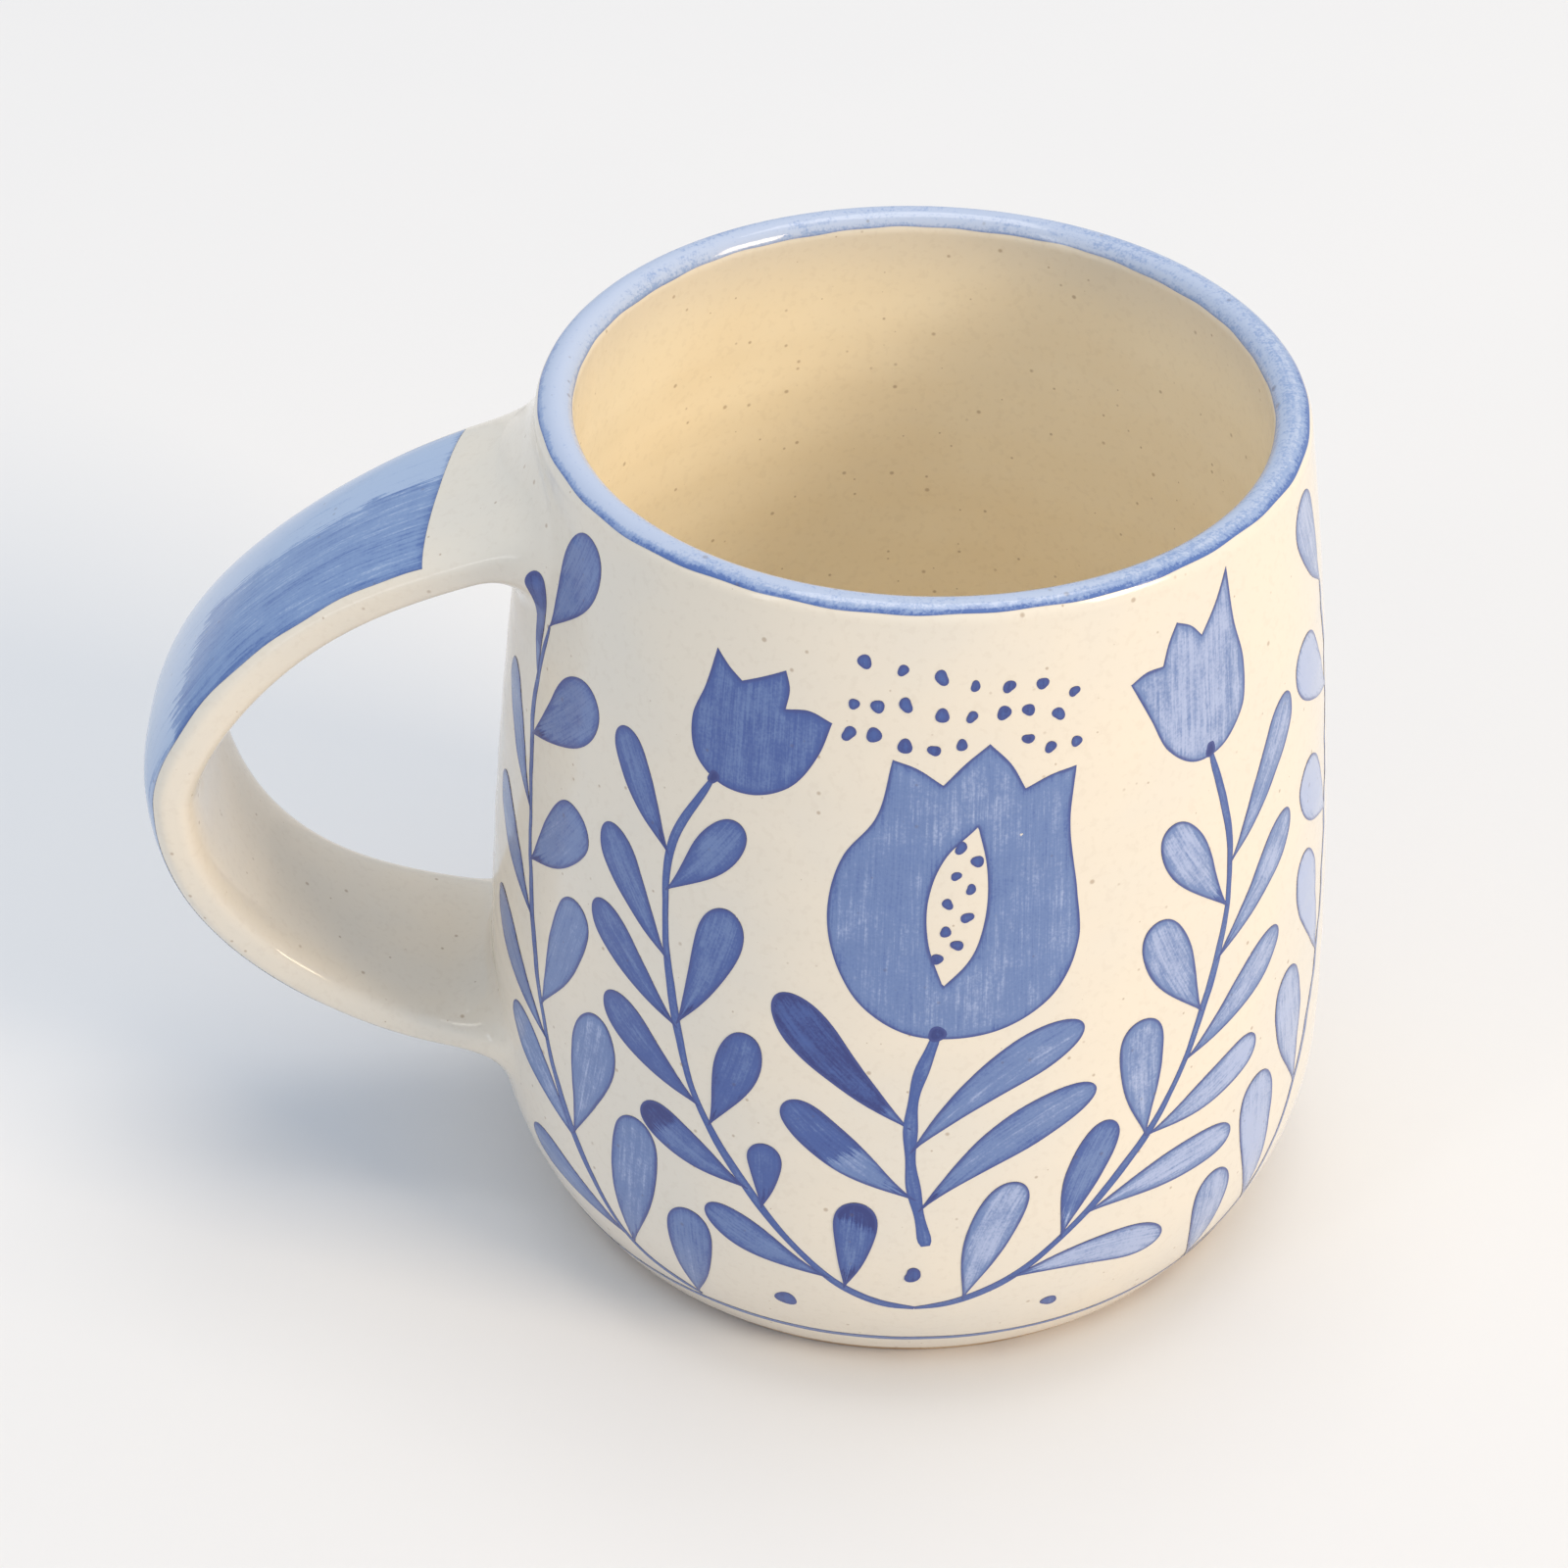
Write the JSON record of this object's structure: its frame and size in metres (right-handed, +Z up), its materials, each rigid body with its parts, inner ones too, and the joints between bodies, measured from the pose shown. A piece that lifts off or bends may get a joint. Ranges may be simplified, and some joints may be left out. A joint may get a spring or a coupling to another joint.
{
  "type": "mug",
  "caption": "Hand-thrown stoneware mug, a flared cup with rounded shoulders and a pulled strap handle luted on at both ends.",
  "frame": {"origin": "centre of the foot, on the surface the mug rests on", "axes": "+Z up along the cup's axis, the handle points along -X"},
  "size_m": [0.123, 0.0884, 0.0944],
  "materials": {
    "cup_glaze": "glossy cream glaze over speckled stoneware",
    "handle_glaze": "glossy cream glaze over speckled stoneware",
    "cobalt_paint": "hand-brushed blue decoration under a glossy glaze",
    "bare_clay": "matt unglazed stoneware on the foot"
  },
  "bodies": {
    "root": {"cup_body": "cup_glaze", "strap_handle": "handle_glaze", "upper_slip_joint": "handle_glaze", "lower_slip_joint": "handle_glaze"}
  },
  "joints": []
}
